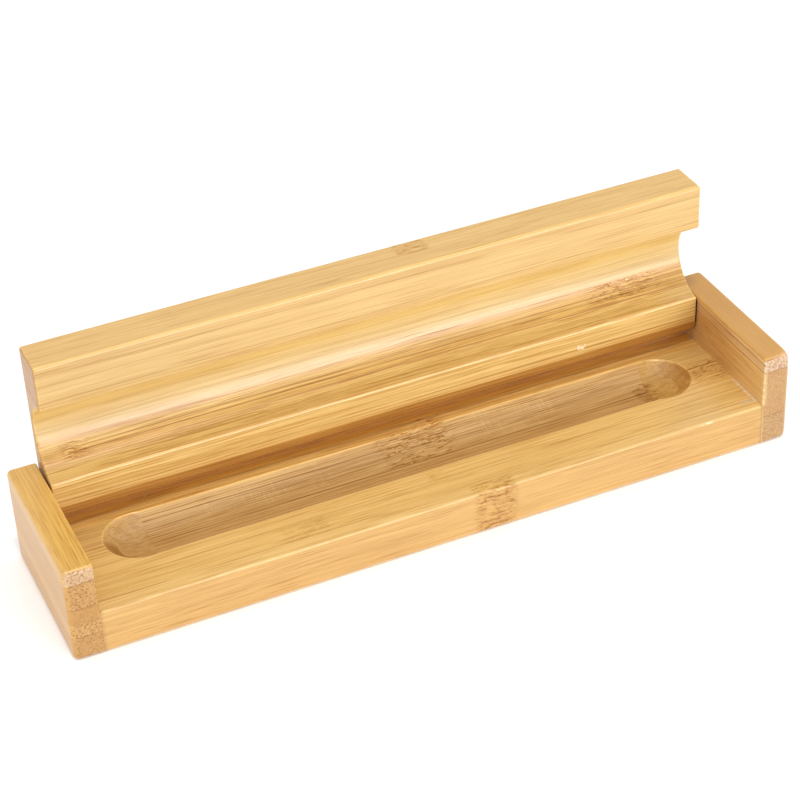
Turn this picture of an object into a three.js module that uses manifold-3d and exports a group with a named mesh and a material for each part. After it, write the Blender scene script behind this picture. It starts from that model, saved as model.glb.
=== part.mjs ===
import * as THREE from 'three';
import { mergeVertices } from 'three/addons/utils/BufferGeometryUtils.js';
import Module from 'manifold-3d';

// A long bamboo pencil case standing open.
// A grooved base board is glued between two taller cheeks, and a thick coved lid swings between
// the cheeks on two hidden steel pins. Sizes are millimetres, X runs along the case, the front is -Y,
// +Z is up, and the origin is the middle of the footprint on the table.

// Whole case
const caseLength = 180;
const caseDepth = 42;

// Base board
const baseThickness = 11.4;
const longEdgeRadius = 0.5;

// Cheeks, one at each end
const cheekThickness = 7;
const cheekHeight = 24.5;
const cheekTopCornerRadius = 1.1;
const cheekOuterEase = 1.2;
const cheekInnerEase = 0.45;
const cheekFootDepth = 1.2;

// Pen groove in the base
const grooveLength = 149.6;
const grooveWidth = 16.2;
const grooveDepth = 3.2;
const grooveBehindMiddle = 1;
const dishExtraDepth = 0.3;

// Lid, with its width running from the hinge edge to the front edge
const lidThickness = 10.6;
const lidSideClearance = 0.35;
const lidSeatClearance = 0.3;
const lidBackSetback = 0.3;
const lidCornerRadius = 0.7;
const lidEndEase = 0.4;
const swingCornerRadius = 3.2;

// Finger cove along the inner face of the lid
const coveRadius = 9.9;
const coveCentreProud = 1;
const coveAheadOfGroove = 0.75;

// Hinge pins and where their axis lies in the lid
const pinDiameter = 2;
const pinLength = 12;
const pinInCheek = 5;
const pinChamfer = 0.25;
const pinHoleClearance = 0.3;
const pivotFromInnerFace = 6.6;
const pivotFromHingeEdge = 4.1;

// Fineness of the rounded surfaces
const cornerSteps = 8;
const grooveSegments = 112;
const dishRings = 56;
const dishSegments = 72;
const coveSteps = 40;
const pinSegments = 24;

// Lines that the pieces share
const innerHalfLength = caseLength / 2 - cheekThickness;
const frontFaceY = -caseDepth / 2;
const backFaceY = caseDepth / 2;
const pivotY = backFaceY - lidBackSetback - pivotFromHingeEdge;
const pivotZ = baseThickness + lidSeatClearance + pivotFromInnerFace;
const lidLength = 2 * (innerHalfLength - lidSideClearance);
const lidWidth = backFaceY - lidBackSetback - frontFaceY;
const pinInnerEnd = innerHalfLength + pinInCheek - pinLength;

const wasm = await Module();
wasm.setup();

// Turns a closed geometry into a solid that can be cut and joined
function toSolid(geometry) {
  const bare = geometry.clone();
  bare.deleteAttribute('normal');
  bare.deleteAttribute('uv');
  const merged = mergeVertices(bare);
  return new wasm.Manifold(new wasm.Mesh({
    numProp: 3,
    vertProperties: new Float32Array(merged.attributes.position.array),
    triVerts: new Uint32Array(merged.index.array),
  }));
}

// Gives the vertices and triangles of a solid back as a geometry
function toGeometry(solid) {
  const mesh = solid.getMesh();
  const geometry = new THREE.BufferGeometry();
  geometry.setAttribute('position', new THREE.BufferAttribute(new Float32Array(mesh.vertProperties), 3));
  geometry.setIndex(new THREE.BufferAttribute(new Uint32Array(mesh.triVerts), 1));
  geometry.computeVertexNormals();
  return geometry;
}

// The same piece made for the other end of the case
function mirrored(geometry) {
  const copy = geometry.clone();
  copy.scale(-1, 1, 1);
  const order = copy.index.array;
  for (let corner = 0; corner < order.length; corner += 3) {
    [order[corner], order[corner + 1]] = [order[corner + 1], order[corner]];
  }
  copy.computeVertexNormals();
  return copy;
}

// Rounded rectangle across the board, as Y and Z points, drawn in by the same inset on every side
function boardOutline(board, inset) {
  const corners = [
    { side: 1, level: 1, radius: board.topRadius },
    { side: -1, level: 1, radius: board.topRadius },
    { side: -1, level: -1, radius: board.bottomRadius },
    { side: 1, level: -1, radius: board.bottomRadius },
  ];
  const leastRadius = 0.1;
  return corners.flatMap((corner, quarter) => {
    const radius = Math.max(corner.radius - inset, leastRadius);
    const reach = inset + radius;
    const centreY = corner.side * (board.depth / 2 - reach);
    const centreZ = board.height / 2 + corner.level * (board.height / 2 - reach);
    const from = quarter * Math.PI / 2;
    return new THREE.EllipseCurve(centreY, centreZ, radius, radius, from, from + Math.PI / 2)
      .getPoints(cornerSteps);
  });
}

// Rings of an eased end: the outline grows along a quarter circle until it reaches full size
function easedEnd(ease) {
  if (ease === 0) {
    return [{ along: 0, inset: 0 }];
  }
  return Array.from({ length: cornerSteps + 1 }, (unused, step) => {
    const angle = (step / cornerSteps) * Math.PI / 2;
    return { along: ease * (1 - Math.cos(angle)), inset: ease * (1 - Math.sin(angle)) };
  });
}

// Lofts a board along X through its outlines, from x = 0 to its length, and closes both ends
function loftBoard(board) {
  const rings = [
    ...easedEnd(board.startEase).map((ring) => ({ x: ring.along, inset: ring.inset })),
    ...easedEnd(board.endEase).reverse().map((ring) => ({ x: board.length - ring.along, inset: ring.inset })),
  ];
  const positions = [];
  const indices = [];
  for (const ring of rings) {
    for (const point of boardOutline(board, ring.inset)) {
      positions.push(ring.x, point.x, point.y);
    }
  }
  const count = boardOutline(board, 0).length;
  const firstCentre = rings.length * count;
  positions.push(0, 0, board.height / 2);
  positions.push(board.length, 0, board.height / 2);
  for (let index = 0; index < count; index += 1) {
    const next = (index + 1) % count;
    for (let ring = 0; ring < rings.length - 1; ring += 1) {
      const near = ring * count;
      const far = near + count;
      indices.push(near + index, near + next, far + next);
      indices.push(near + index, far + next, far + index);
    }
    const last = (rings.length - 1) * count;
    indices.push(firstCentre, next, index);
    indices.push(firstCentre + 1, last + index, last + next);
  }
  const geometry = new THREE.BufferGeometry();
  geometry.setAttribute('position', new THREE.Float32BufferAttribute(positions, 3));
  geometry.setIndex(indices);
  return geometry;
}

// Round bar along X between two places on the pivot axis
function barAlongX(radius, fromX, toX, segments) {
  const bar = new THREE.CylinderGeometry(radius, radius, toX - fromX, segments);
  bar.rotateZ(Math.PI / 2);
  bar.translate((fromX + toX) / 2, 0, 0);
  return bar;
}

// Base board with the pen groove: a shallow trough whose round ends are plunged a little deeper
function makeBase() {
  const board = loftBoard({
    length: 2 * innerHalfLength,
    depth: caseDepth,
    height: baseThickness,
    topRadius: longEdgeRadius,
    bottomRadius: longEdgeRadius,
    startEase: 0,
    endEase: 0,
  });
  board.translate(-innerHalfLength, 0, 0);

  const halfWidth = grooveWidth / 2;
  const cutterRadius = (halfWidth ** 2 + grooveDepth ** 2) / (2 * grooveDepth);
  const dishDepth = grooveDepth + dishExtraDepth;
  const dishRimRadius = Math.sqrt(dishDepth * (2 * cutterRadius - dishDepth));
  const dishX = grooveLength / 2 - dishRimRadius;
  const cutterZ = baseThickness - grooveDepth + cutterRadius;

  const trough = barAlongX(cutterRadius, -dishX, dishX, grooveSegments);
  trough.translate(0, grooveBehindMiddle, cutterZ);
  let solid = toSolid(board).subtract(toSolid(trough));
  for (const side of [-1, 1]) {
    const dish = new THREE.SphereGeometry(cutterRadius, dishSegments, dishRings);
    dish.rotateX(Math.PI / 2);
    dish.translate(side * dishX, grooveBehindMiddle, cutterZ - dishExtraDepth);
    solid = solid.subtract(toSolid(dish));
  }
  return toGeometry(solid);
}

// Left cheek with its inner face at x = 0: eased most on the outside, sanded flush with the base
// at its foot, and drilled blind for the hinge pin
function makeCheek() {
  const plank = loftBoard({
    length: cheekThickness,
    depth: caseDepth,
    height: cheekHeight,
    topRadius: cheekTopCornerRadius,
    bottomRadius: longEdgeRadius,
    startEase: cheekOuterEase,
    endEase: cheekInnerEase,
  });
  plank.translate(-cheekThickness, 0, 0);

  const foot = loftBoard({
    length: cheekFootDepth,
    depth: caseDepth,
    height: baseThickness,
    topRadius: longEdgeRadius,
    bottomRadius: longEdgeRadius,
    startEase: 0,
    endEase: 0,
  });
  foot.translate(-cheekFootDepth, 0, 0);

  const holeRadius = pinDiameter / 2 + pinHoleClearance;
  const hole = barAlongX(holeRadius, -pinInCheek - pinHoleClearance, cheekThickness, pinSegments);
  hole.translate(0, pivotY, pivotZ);
  return toGeometry(toSolid(plank).add(toSolid(foot)).subtract(toSolid(hole)));
}

// Arc of a profile, as points from one angle in degrees to another
function profileArc(centreY, centreZ, radius, fromDegrees, toDegrees, steps) {
  const from = THREE.MathUtils.degToRad(fromDegrees);
  const to = THREE.MathUtils.degToRad(toDegrees);
  return new THREE.EllipseCurve(centreY, centreZ, radius, radius, from, to, to < from).getPoints(steps);
}

// Lid standing open, drawn about the pin axis: its profile is extruded along the case
function makeLid() {
  const innerY = -pivotFromInnerFace;
  const outerY = lidThickness - pivotFromInnerFace;
  const hingeZ = -pivotFromHingeEdge;
  const frontZ = lidWidth - pivotFromHingeEdge;
  const coveZ = pivotY - grooveBehindMiddle + coveAheadOfGroove;
  const coveTurn = THREE.MathUtils.radToDeg(Math.acos(coveCentreProud / coveRadius));
  const outer = lidCornerRadius;
  const swing = swingCornerRadius;
  const profile = new THREE.Shape([
    ...profileArc(innerY + swing, hingeZ + swing, swing, 180, 270, 2 * cornerSteps),
    ...profileArc(outerY - outer, hingeZ + outer, outer, 270, 360, cornerSteps),
    ...profileArc(outerY - outer, frontZ - outer, outer, 0, 90, cornerSteps),
    ...profileArc(innerY + outer, frontZ - outer, outer, 90, 180, cornerSteps),
    ...profileArc(innerY - coveCentreProud, coveZ, coveRadius, coveTurn, -coveTurn, coveSteps),
  ]);

  const straight = lidLength - 2 * lidEndEase;
  const body = new THREE.ExtrudeGeometry(profile, {
    depth: straight,
    bevelEnabled: true,
    bevelThickness: lidEndEase,
    bevelSize: lidEndEase,
    bevelOffset: -lidEndEase,
    bevelSegments: 4,
  });
  body.translate(0, 0, -straight / 2);
  body.applyMatrix4(new THREE.Matrix4().makeBasis(
    new THREE.Vector3(0, 1, 0),
    new THREE.Vector3(0, 0, 1),
    new THREE.Vector3(1, 0, 0),
  ));

  let solid = toSolid(body);
  const holeRadius = pinDiameter / 2 + pinHoleClearance;
  for (const side of [-1, 1]) {
    const hole = barAlongX(holeRadius, pinInnerEnd - pinHoleClearance, innerHalfLength, pinSegments);
    if (side < 0) {
      hole.rotateZ(Math.PI);
    }
    solid = solid.subtract(toSolid(hole));
  }
  return toGeometry(solid);
}

// Hinge pin along X from x = 0, with both ends chamfered
function makePin() {
  const radius = pinDiameter / 2;
  const pin = new THREE.LatheGeometry([
    new THREE.Vector2(0, 0),
    new THREE.Vector2(radius - pinChamfer, 0),
    new THREE.Vector2(radius, pinChamfer),
    new THREE.Vector2(radius, pinLength - pinChamfer),
    new THREE.Vector2(radius - pinChamfer, pinLength),
    new THREE.Vector2(0, pinLength),
  ], pinSegments);
  pin.rotateZ(-Math.PI / 2);
  return toGeometry(toSolid(pin));
}

function bamboo(color) {
  return new THREE.MeshStandardMaterial({ color, roughness: 0.48, metalness: 0 });
}

function steel() {
  return new THREE.MeshStandardMaterial({ color: 0xb9bbbd, roughness: 0.35, metalness: 1 });
}

function named(name, geometry, material) {
  const mesh = new THREE.Mesh(geometry, material);
  mesh.name = name;
  return mesh;
}

const pencilCase = new THREE.Group();
pencilCase.add(named('base', makeBase(), bamboo(0xd9a65e)));

const cheekGeometry = makeCheek();
const leftCheek = named('cheek_left', cheekGeometry, bamboo(0xdcb078));
leftCheek.position.x = -innerHalfLength;
pencilCase.add(leftCheek);

const rightCheek = named('cheek_right', mirrored(cheekGeometry), bamboo(0xd8a968));
rightCheek.position.x = innerHalfLength;
pencilCase.add(rightCheek);

// Everything on the hinge is placed from the pin axis
const hinge = new THREE.Group();
hinge.position.set(0, pivotY, pivotZ);
pencilCase.add(hinge);
hinge.add(named('lid', makeLid(), bamboo(0xe3b671)));

const pinGeometry = makePin();
const leftPin = named('hinge_pin_left', pinGeometry, steel());
leftPin.position.x = -innerHalfLength - pinInCheek;
hinge.add(leftPin);
const rightPin = named('hinge_pin_right', pinGeometry, steel());
rightPin.position.x = pinInnerEnd;
hinge.add(rightPin);

export default pencilCase;
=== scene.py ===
import math

import bmesh
import bpy
import numpy as np
from mathutils.geometry import tessellate_polygon
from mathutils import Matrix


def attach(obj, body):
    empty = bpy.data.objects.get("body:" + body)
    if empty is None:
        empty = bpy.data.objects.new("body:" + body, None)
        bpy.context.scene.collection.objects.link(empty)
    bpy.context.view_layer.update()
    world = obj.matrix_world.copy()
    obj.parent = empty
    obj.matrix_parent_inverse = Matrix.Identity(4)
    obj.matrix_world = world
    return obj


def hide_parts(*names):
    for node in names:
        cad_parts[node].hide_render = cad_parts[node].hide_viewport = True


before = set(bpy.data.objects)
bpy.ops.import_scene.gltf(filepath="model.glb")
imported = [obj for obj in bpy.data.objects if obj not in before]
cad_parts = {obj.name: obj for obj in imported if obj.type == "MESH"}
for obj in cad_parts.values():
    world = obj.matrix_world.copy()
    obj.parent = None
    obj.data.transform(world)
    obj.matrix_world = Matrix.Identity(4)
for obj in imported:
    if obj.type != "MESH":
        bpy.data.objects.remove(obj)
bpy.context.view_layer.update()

# A long bamboo pencil case standing open on a pale floor.
# Shapes are worked out in millimetres, X along the case, and put into the meshes in metres.
millimetre = 0.001
mergeDistance = 0.002


def ease01(value, low, high):
    # 0 below low, 1 above high, and 3t^2 - 2t^3 between them
    t = np.clip((value - low) / (high - low), 0, 1)
    return t * t * (3 - 2 * t)


def arcPoints(centre, radius, fromDegrees, toDegrees, steps):
    # centre + radius * (cos a, sin a), with a running evenly between the two angles; with them
    # the outward directions, and sin(pi t), which says how far a point is from the arc's ends
    angle = np.radians(np.linspace(fromDegrees, toDegrees, steps + 1))
    radial = np.stack([np.cos(angle), np.sin(angle)], -1)
    outward = radial if toDegrees > fromDegrees else -radial
    turn = np.sin(np.linspace(0, math.pi, steps + 1))
    return np.array(centre) + radius * radial, outward, turn


def closedOutline(arcs, support, spacing):
    # Runs through its arcs in turn, with straight lines from each to the next. A line gets evenly
    # spaced points, or as many as the arc before it asks for, and one more close to each end, so
    # that flat faces stay flat where they meet a rounding. With the points go their outward
    # directions and how far each is lightened, for wear and painted highlight on the edge
    points, normals, turns = [], [], []
    traced = [arcPoints(*arc["arc"]) for arc in arcs]
    for index, (here, outward, turn) in enumerate(traced):
        points.append(here)
        normals.append(outward)
        turns.append(turn * arcs[index].get("worn", 1))
        start, end = here[-1], traced[(index + 1) % len(traced)][0][0]
        length = float(np.linalg.norm(end - start))
        if length < 3 * support:
            continue
        share = support / length
        steps = arcs[index].get("steps", max(1, round(length / spacing)))
        t = np.concatenate([[share], np.linspace(0, 1, steps + 1)[1:-1], [1 - share]])[:, None]
        points.append(start + (end - start) * t)
        normals.append(np.repeat(outward[-1:], len(t), 0))
        turns.append(np.zeros(len(t)))
    return np.concatenate(points), np.concatenate(normals), np.concatenate(turns)


def easedRings(atX, inward, ease, steps):
    # A quarter circle of radius ease: x = end - ease (1 - cos a), inset = ease (1 - sin a),
    # from the flat end to the full outline; inward is the direction along X into the piece
    angle = np.linspace(0, math.pi / 2, steps + 1)
    along = atX + inward * ease * (1 - np.cos(angle))
    return along, ease * (1 - np.sin(angle)), np.sin(2 * angle)


def carried(xs, rings):
    # Puts a ring of (y, z) at each x
    along = np.broadcast_to(xs[:, None, None], rings.shape[:2] + (1,))
    return np.concatenate([along, rings], -1)


def closeRound(points):
    # Repeats the first column at the end, so that the grid goes all the way round
    return np.concatenate([points, points[:, :1]], 1)


def shrinkTo(ring, target, shares):
    # (1 - s) ring + s target, one row of points for every share
    s = np.asarray(shares)[:, None, None]
    return (1 - s) * ring[None] + s * target[None]


def circleFacing(ring, centre, radius):
    # For each point of a ring round the centre, the point of the circle in the same direction
    offset = ring[:, 1:] - np.array(centre)
    direction = offset / np.linalg.norm(offset, axis=1, keepdims=True)
    return np.concatenate([ring[:, :1], np.array(centre) + radius * direction], 1)


def gridFaces(index):
    # four-cornered faces between neighbouring rows and columns of a grid of point numbers
    corners = [index[:-1, :-1], index[1:, :-1], index[1:, 1:], index[:-1, 1:]]
    return np.stack(corners, -1).reshape(-1, 4).tolist()


def makePiece(name, patches, keys, node, body, material):
    # Joins grids of points, and flat caps given as faces, into one closed mesh
    points, faces, smooth = [], [], []
    values = {key: [] for key in keys}
    count = 0
    for patch in patches:
        grid = patch["points"]
        flat = patch.get("flat", False)
        if "faces" in patch:
            cells = [[corner + count for corner in face] for face in patch["faces"]]
        else:
            index = np.arange(grid.shape[0] * grid.shape[1]).reshape(grid.shape[:2]) + count
            cells = gridFaces(index)
        total = int(np.prod(grid.shape[:-1]))
        points.append(grid.reshape(-1, 3))
        faces.extend(cells)
        smooth.extend([not flat] * len(cells))
        for key in keys:
            value = np.broadcast_to(np.asarray(patch.get(key, 0.0), float), grid.shape[:-1])
            values[key].append(value.reshape(-1))
        count += total
    mesh = bpy.data.meshes.new(name)
    mesh.from_pydata((np.concatenate(points) * millimetre).tolist(), [], faces)
    for key in keys:
        layer = mesh.attributes.new(key, "FLOAT", "POINT")
        layer.data.foreach_set("value", np.concatenate(values[key]).astype(np.float32))
    mesh.polygons.foreach_set("use_smooth", smooth)
    shell = bmesh.new()
    shell.from_mesh(mesh)
    bmesh.ops.remove_doubles(shell, verts=shell.verts, dist=mergeDistance * millimetre)
    bmesh.ops.recalc_face_normals(shell, faces=shell.faces)
    openEdges = sum(1 for edge in shell.edges if not edge.is_manifold)
    shell.to_mesh(mesh)
    shell.free()
    mesh.materials.append(material)
    piece = bpy.data.objects.new(name, mesh)
    bpy.context.scene.collection.objects.link(piece)
    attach(piece, body)
    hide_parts(node)
    print(name, len(mesh.polygons), "faces,", openEdges, "open edges")
    return piece


class Wire:
    # A socket that can be written in sums: each operator adds its Math node
    def __init__(self, shader, socket):
        self.shader = shader
        self.socket = socket

    def output(self, name):
        # another output of the same node
        return Wire(self.shader, self.socket.node.outputs[name])

    def math(self, operation, *terms):
        sockets = dict(enumerate(terms))
        return self.shader.add("ShaderNodeMath", {"operation": operation}, sockets)

    def __add__(self, other):
        return self.math("ADD", self, other)

    def __radd__(self, other):
        return self.math("ADD", other, self)

    def __sub__(self, other):
        return self.math("SUBTRACT", self, other)

    def __rsub__(self, other):
        return self.math("SUBTRACT", other, self)

    def __mul__(self, other):
        return self.math("MULTIPLY", self, other)

    def __rmul__(self, other):
        return self.math("MULTIPLY", other, self)

    def __truediv__(self, other):
        return self.math("DIVIDE", self, other)

    def __rtruediv__(self, other):
        return self.math("DIVIDE", other, self)

    def __abs__(self):
        return self.math("ABSOLUTE", self)

    def most(self, other):
        # the larger of the two
        return self.math("MAXIMUM", self, other)

    def ramp(self, low, high, start=0.0, end=1.0):
        # smooth step from start at low to end at high
        if low > high:
            low, high, start, end = high, low, end, start
        settings = {"interpolation_type": "SMOOTHSTEP"}
        sockets = {"Value": self, "From Min": low, "From Max": high, "To Min": start, "To Max": end}
        return self.shader.add("ShaderNodeMapRange", settings, sockets)

    def within(self, low, high, soft):
        # 1 between low and high, 0 outside, with soft edges
        return self.ramp(low - soft, low + soft) * self.ramp(high - soft, high + soft, 1.0, 0.0)


class Shader:
    # One material and its nodes
    def __init__(self, name):
        self.material = bpy.data.materials.new(name)
        self.material.use_nodes = True
        self.tree = self.material.node_tree
        self.tree.nodes.clear()

    def add(self, kind, settings=None, sockets=None, output=0):
        # adds a node of this kind, sets it up and links it, and gives one of its outputs
        node = self.tree.nodes.new(kind)
        for key, value in (settings or {}).items():
            if key == "stops":
                self.setStops(node.color_ramp, value)
            elif key == "rampStyle":
                node.color_ramp.interpolation = value
            else:
                setattr(node, key, value)
        for key, value in (sockets or {}).items():
            if isinstance(value, Wire):
                self.tree.links.new(value.socket, node.inputs[key])
            elif isinstance(value, tuple) and node.inputs[key].type == "RGBA":
                node.inputs[key].default_value = (*value, 1.0)
            else:
                node.inputs[key].default_value = value
        return Wire(self, node.outputs[output]) if node.outputs else node

    def setStops(self, ramp, stops):
        # puts pairs of a position and a colour into a colour ramp
        while len(ramp.elements) > 1:
            ramp.elements.remove(ramp.elements[-1])
        for index, (position, colour) in enumerate(stops):
            stop = ramp.elements[0] if index == 0 else ramp.elements.new(position)
            stop.position = position
            stop.color = (*colour, 1.0)

    def mix(self, factor, first, second, blend="MIX"):
        # the first colour where the factor is 0, and the second, or their blend, where it is 1
        settings = {"data_type": "RGBA", "blend_type": blend}
        return self.add("ShaderNodeMix", settings, {0: factor, 6: first, 7: second}, 2)

    def tinted(self, factor, colour, tint):
        # (1 - factor) colour + factor * colour * tint
        return self.mix(factor, colour, self.mix(1.0, colour, tint, "MULTIPLY"))

    def attribute(self, name):
        return self.add("ShaderNodeAttribute", {"attribute_name": name}, None, "Fac")

    def stretched(self, place, size):
        # a place divided by a size, direction by direction
        parts = {index: part / size[index] for index, part in enumerate(place)}
        return self.add("ShaderNodeCombineXYZ", None, parts)

    def noise(self, place, size, detail=2.0, roughness=0.5):
        # noise between 0 and 1 whose blotches have about this size
        sockets = {"Vector": self.stretched(place, size), "Scale": 1.0, "Detail": detail}
        return self.add("ShaderNodeTexNoise", None, {**sockets, "Roughness": roughness}, "Fac")

    def cells(self, place, size):
        # the distance from the middle of the nearest cell, in cells
        sockets = {"Vector": self.stretched(place, size), "Scale": 1.0}
        return self.add("ShaderNodeTexVoronoi", {"feature": "F1"}, sockets, "Distance")

    def place(self):
        # Object coordinates in millimetres, as three numbers
        coordinates = self.add("ShaderNodeTexCoord", None, None, "Object")
        inMillimetres = self.add(
            "ShaderNodeVectorMath", {"operation": "SCALE"}, {0: coordinates, 3: 1 / millimetre})
        parts = self.add("ShaderNodeSeparateXYZ", None, {0: inMillimetres}, "X")
        return parts, parts.output("Y"), parts.output("Z")

    def bump(self, height, strength, distance):
        # tilts the surface as if it rose by height * distance, in millimetres
        sockets = {"Height": height, "Strength": strength, "Distance": distance * millimetre}
        return self.add("ShaderNodeBump", None, sockets)

    def finish(self, sockets):
        surface = self.add("ShaderNodeBsdfPrincipled", None, sockets, "BSDF")
        self.add("ShaderNodeOutputMaterial", None, {"Surface": surface})
        return self.material


woodShare = 0.86


def tone(red, green, blue, strength=woodShare):
    # A colour as it is seen on a screen, 0 to 255, turned into the light that it reflects
    levels = np.array([red, green, blue]) / 255
    linear = np.where(levels <= 0.04045, levels / 12.92, ((levels + 0.055) / 1.055) ** 2.4)
    return tuple(float(level * strength) for level in linear)


bamboo = {
    # tones that are multiplied into a strip's own tone
    "dark": (0.70, 0.55, 0.32), "light": (1.11, 1.14, 1.18), "line": (0.50, 0.34, 0.13),
    "nodeTone": (0.84, 0.75, 0.55), "strokeTone": (0.66, 0.48, 0.19), "liftTone": (1.12, 1.15, 1.2),
    "blotchTones": ((0.84, 0.79, 0.66), (1.03, 1.03, 1.01)), "chatterTone": (1.12, 1.13, 1.2),
    # sizes in millimetres along the fibres, across the strips and through the board
    "fine": (14, 0.26, 0.26), "streak": (60, 0.8, 0.8), "bundle": (11, 0.5, 0.5),
    "patch": (22, 2.5, 2.5), "broad": (30, 9, 9), "drift": (60, 9, 9), "sway": (15, 5, 5),
    "lineBreak": (18, 4, 4), "ragged": (2.5, 1.2, 1.2), "warp": (3.2, 1.3, 1.3),
    "mottle": (1.6, 0.7, 0.7), "stroke": (4.2, 0.5, 0.7), "wobble": (3, 0.9, 0.9),
    "dot": (9, 0.62, 0.62),
    # sizes along X, Y and Z
    "blotch": (2, 1.5, 1.5), "chatter": (0.55, 4, 4), "chatterPatch": (7, 2.5, 2.5),
    "speck": (0.6, 0.6, 0.6), "wear": (3, 3, 3),
    # the share of each figure in the level of the wood, and the level where it is neither
    # dark nor light
    "fineShare": 1.9, "streakShare": 0.6, "broadShare": 0.3, "bundleShare": 0.5, "middle": 0.62,
    # shares left between patches and on calm wood, lost in a dish, and gained on lively wood
    "bundleLeft": 0.35, "calmLeft": 0.15, "dishLoss": 0.5, "livelyGain": 0.7,
    # where in its noise each figure sets in, and where it is full
    "patchOn": (0.35, 0.65), "bundleOn": (0.36, 0.10), "lineOn": (0.25, 0.55),
    "strokeOn": (0.48, 0.61), "mottleOn": (0.30, 0.54), "liftOn": (0.49, 0.38),
    "shadeOn": (0.3, 0.7, 0.35, 1.0), "blotchOn": (0.36, 0.62), "chatterOn": (0.52, 0.62),
    "chatterPatchOn": (0.45, 0.6), "dotOn": (0.5, 0.28), "speckOn": (0.42, 0.52),
    "wearOn": (0.2, 0.6), "grooveOn": (0.05, 0.6), "blotchShare": 0.8,
    # how far noise moves the strips, the edges of nodes, their strokes and the dots, in
    # millimetres
    "driftBy": 0.5, "swayBy": 0.4, "raggedBy": (3.0, 0.4), "warpBy": 3.0, "wobbleBy": 0.4,
    # how soft a node is at its ends, sides and faces, and how far it pushes the fibres: from -3
    # to 3 mm along them by -1/4 to 1/4 mm
    "nodeSoft": 1.2, "sideSoft": 0.15, "throughSoft": 0.2, "aside": (-3, 3, -0.25, 0.25),
    # what each figure adds to the height of the surface and to its dullness
    "fineRelief": 0.6, "streakRelief": 0.5, "bundleRelief": 0.5, "nodeRelief": 1.8,
    "lineDull": 0.3, "bundleDull": 0.1, "strokeDull": 0.3, "grooveDull": 0.22,
    "reliefShine": 0.25, "roughness": 0.36, "bump": 0.35, "bumpDistance": 0.04,
    # how soft the sides of a box are where it doesn't say
    "softness": 0.3,
}


def boxMask(shader, boxes, axes):
    # 1 inside any of the boxes with soft sides, each given by ranges of x, y and z, with the
    # softness last where it isn't the usual one, of x - y for a slanting scratch, and by the
    # range of an attribute of the mesh; nothing where there are no boxes
    whole = None
    for box in boxes:
        mask = box.get("amount", 1.0)
        for axis in axes:
            if axis in box:
                low, high, *soft = box[axis]
                mask = axes[axis].within(low, high, soft[0] if soft else bamboo["softness"]) * mask
        if "attribute" in box:
            mask = shader.attribute(box["attribute"]).ramp(*box["over"]) * mask
        whole = mask if whole is None else whole.most(mask)
    return whole


def nodeMasks(shader, place, nodes):
    # Where the nodes lie: a box with a ragged edge for each; with them the share that is shaded,
    # and how far the fibres are pushed aside, -1/4 to 1/4 mm from one end of a node to the other
    along, across, through = place
    marks, shade, push = None, None, None
    for mark in nodes:
        ragged = shader.noise(place, bamboo["ragged"], 3.0) - 0.5
        soft = mark.get("soft", bamboo["nodeSoft"])
        inLength = (along + ragged * bamboo["raggedBy"][0]).within(*mark["along"], soft)
        inWidth = (across + ragged * bamboo["raggedBy"][1]).within(
            *mark["across"], bamboo["sideSoft"])
        this = inLength * inWidth * mark.get("strength", 1.0)
        if "through" in mark:
            this = this * through.within(*mark["through"], bamboo["throughSoft"])
        darker = this * mark.get("shade", 1.0)
        aside = this * (along - sum(mark["along"]) / 2).ramp(*bamboo["aside"])
        marks = this if marks is None else marks.most(this)
        shade = darker if shade is None else shade.most(darker)
        push = aside if push is None else push + aside
    return marks, shade, push


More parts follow.
